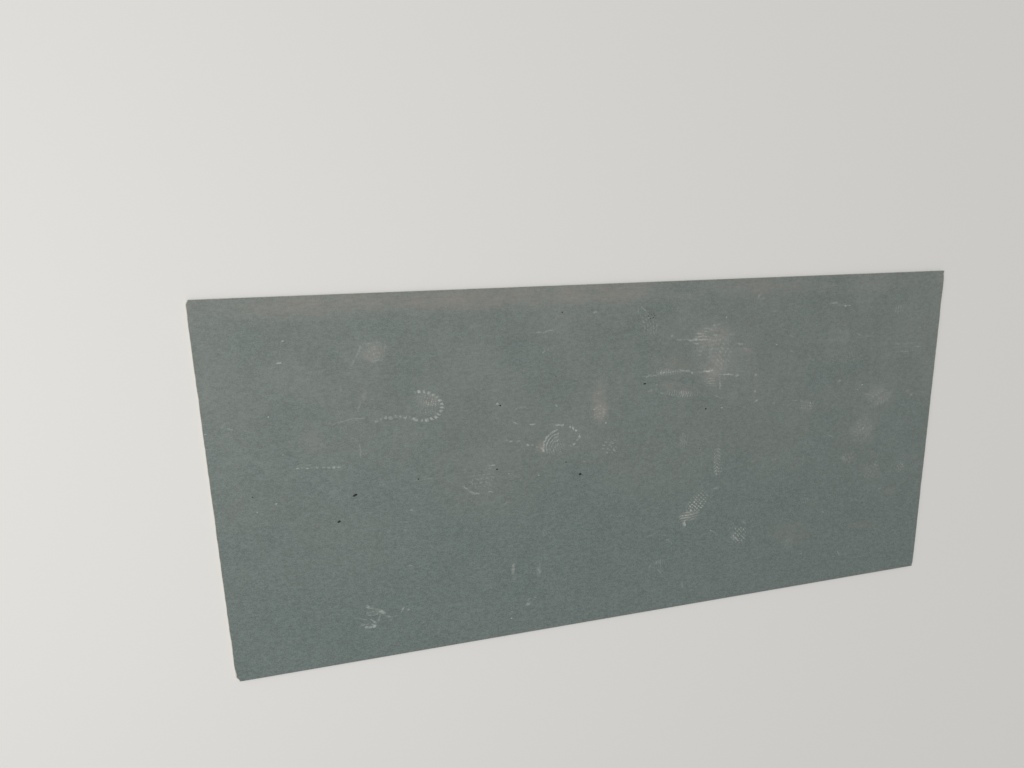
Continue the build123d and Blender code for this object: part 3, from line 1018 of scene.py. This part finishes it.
def floor_material(colours):
    """Plain pale floor, which the camera sees fade into the backdrop far from the sheet."""
    nodes = Finish("floor", 0.9, 0.1)
    nodes.shader["Base Color"].default_value = (*colours.floor, 1)
    nodes.material.cycles.emission_sampling = "NONE"
    seen = nodes.add("LightPath").outputs["Is Camera Ray"]
    far = nodes.step(nodes.vector("LENGTH", nodes.here), *FLOOR_FADE)
    plain = nodes.tree.nodes["Principled BSDF"].outputs[0]
    glow = nodes.add("Emission", {"Color": (*colours.backdrop, 1)}).outputs[0]
    surface = nodes.add("MixShader", {0: nodes.times(far, seen), 1: plain, 2: glow})
    nodes.feed(nodes.tree.nodes["Material Output"].inputs["Surface"], surface.outputs[0])
    return nodes.material


def studio_world(colours):
    """Even white light from all round, and the pale backdrop where the camera looks past the
    floor.
    """
    world = bpy.data.worlds.new("studio")
    world.use_nodes = True
    nodes = Nodes(world.node_tree)
    seen = nodes.add("LightPath").outputs["Is Camera Ray"]
    background = nodes.tree.nodes["Background"].inputs
    nodes.feed(background["Color"], nodes.mix(seen, (WORLD_LIGHT,) * 3, colours.backdrop))
    background["Strength"].default_value = 1.0
    return world


class DRYWALL_OT_papers(bpy.types.Operator):
    """Build the face paper and the back paper"""

    bl_idname = "drywall.papers"
    bl_label = "Lining papers"

    def execute(self, context):
        sizes, colours = context.scene.drywall_sizes, context.scene.drywall_colours
        face = build_face_paper(sizes)
        finish_piece(face, face_paper_material(colours))
        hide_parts(NODE)
        finish_piece(build_back_paper(sizes), back_paper_material(colours))
        return {"FINISHED"}


class DRYWALL_OT_core(bpy.types.Operator):
    """Build the gypsum core between the papers"""

    bl_idname = "drywall.core"
    bl_label = "Gypsum core"

    def execute(self, context):
        sizes, colours = context.scene.drywall_sizes, context.scene.drywall_colours
        core = build_gypsum_core(sizes)
        finish_piece(core, gypsum_material(colours), sharp_angle=60)
        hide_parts(NODE)
        return {"FINISHED"}


class DRYWALL_OT_blobs(bpy.types.Operator):
    """Build the plaster splashes and the dark specks on the face"""

    bl_idname = "drywall.blobs"
    bl_label = "Splashes and specks"

    def execute(self, context):
        sizes, colours = context.scene.drywall_sizes, context.scene.drywall_colours
        rows = strew(PLASTER_SPLASHES, smallest=0.5, largest=1.3, seed=11)
        plaster = blob_material("plaster", colours.plaster, 0.9)
        finish_piece(build_blobs("plaster_splashes", rows, sizes), plaster, SMOOTH)
        rows = strew(DIRT_SPECKS, smallest=0.4, largest=1.1, seed=12)
        dirt = blob_material("dirt", colours.dirt, 0.7)
        finish_piece(build_blobs("dirt_specks", rows, sizes), dirt, SMOOTH)
        return {"FINISHED"}


class DRYWALL_OT_stage(bpy.types.Operator):
    """Build the floor, the lamps and the camera"""

    bl_idname = "drywall.stage"
    bl_label = "Stage"

    def execute(self, context):
        colours = context.scene.drywall_colours
        corners = np.array(((-1, -1, 0), (1, -1, 0), (1, 1, 0), (-1, 1, 0))) * FLOOR_HALF
        floor = add_mesh("floor", corners, np.array(((0, 1, 2, 3),)))
        floor.data.materials.append(floor_material(colours))
        for settings in LAMPS:
            add_lamp(*settings)
        context.scene.world = studio_world(colours)
        add_camera(context.scene)
        context.scene.view_settings.view_transform = "Standard"
        return {"FINISHED"}


def aim(place, target):
    """Turn that looks from place to target, with the world's up upwards."""
    return (Vector(target) - Vector(place)).to_track_quat("-Z", "Y").to_matrix()


def add_lamp(name, kind, place, target, power, softness):
    """A soft lamp that faces target: a far one that lights all evenly, or a near one."""
    light = bpy.data.lights.new(name, kind)
    if kind == "SUN":
        light.angle = math.radians(softness)
    else:
        light.size = softness
    light.energy = power
    lamp = bpy.data.objects.new(name, light)
    lamp.matrix_world = Matrix.Translation(place) @ aim(place, target).to_4x4()
    bpy.context.scene.collection.objects.link(lamp)


CAMERA_PLACE = (-0.8087, 0.67232, 1.8527)
CAMERA_TARGET = (-0.37594, 0.29366, 0.0125)
CAMERA_ROLL = math.radians(128.157)
CAMERA_LENS = 21.093  # mm
CAMERA_SENSOR = 36  # mm


def add_camera(scene):
    """Camera at the photograph's viewing angle, solved from the face's four corners."""
    data = bpy.data.cameras.new("camera")
    data.sensor_width = CAMERA_SENSOR
    data.lens = CAMERA_LENS
    data.clip_start = 0.05
    camera = bpy.data.objects.new("camera", data)
    turn = aim(CAMERA_PLACE, CAMERA_TARGET) @ Matrix.Rotation(CAMERA_ROLL, 3, "Z")
    camera.matrix_world = Matrix.Translation(CAMERA_PLACE) @ turn.to_4x4()
    scene.collection.objects.link(camera)
    scene.camera = camera


class DRYWALL_PT_panel(bpy.types.Panel):
    """Lists the sizes, the colours and the steps"""

    bl_idname = "DRYWALL_PT_panel"
    bl_label = "Drywall sheet"
    bl_space_type = "VIEW_3D"
    bl_region_type = "UI"
    bl_category = "Drywall"

    def draw(self, context):
        for group in (context.scene.drywall_sizes, context.scene.drywall_colours):
            box = self.layout.box()
            for name in type(group).__annotations__:
                box.prop(group, name)
        for step in STEPS:
            self.layout.operator(step.bl_idname)


STEPS = (DRYWALL_OT_core, DRYWALL_OT_papers, DRYWALL_OT_blobs, DRYWALL_OT_stage)
CLASSES = (DrywallSizes, DrywallColours, *STEPS, DRYWALL_PT_panel)


def register():
    """Registers the classes and their settings."""
    for item in CLASSES:
        bpy.utils.register_class(item)
    bpy.types.Scene.drywall_sizes = bpy.props.PointerProperty(type=DrywallSizes)
    bpy.types.Scene.drywall_colours = bpy.props.PointerProperty(type=DrywallColours)


def unregister():
    """Removes the settings and the classes."""
    del bpy.types.Scene.drywall_sizes
    del bpy.types.Scene.drywall_colours
    for item in reversed(CLASSES):
        bpy.utils.unregister_class(item)


def main():
    register()
    bpy.ops.drywall.core()
    bpy.ops.drywall.papers()
    bpy.ops.drywall.blobs()
    bpy.ops.drywall.stage()


if __name__ == "__main__":
    main()
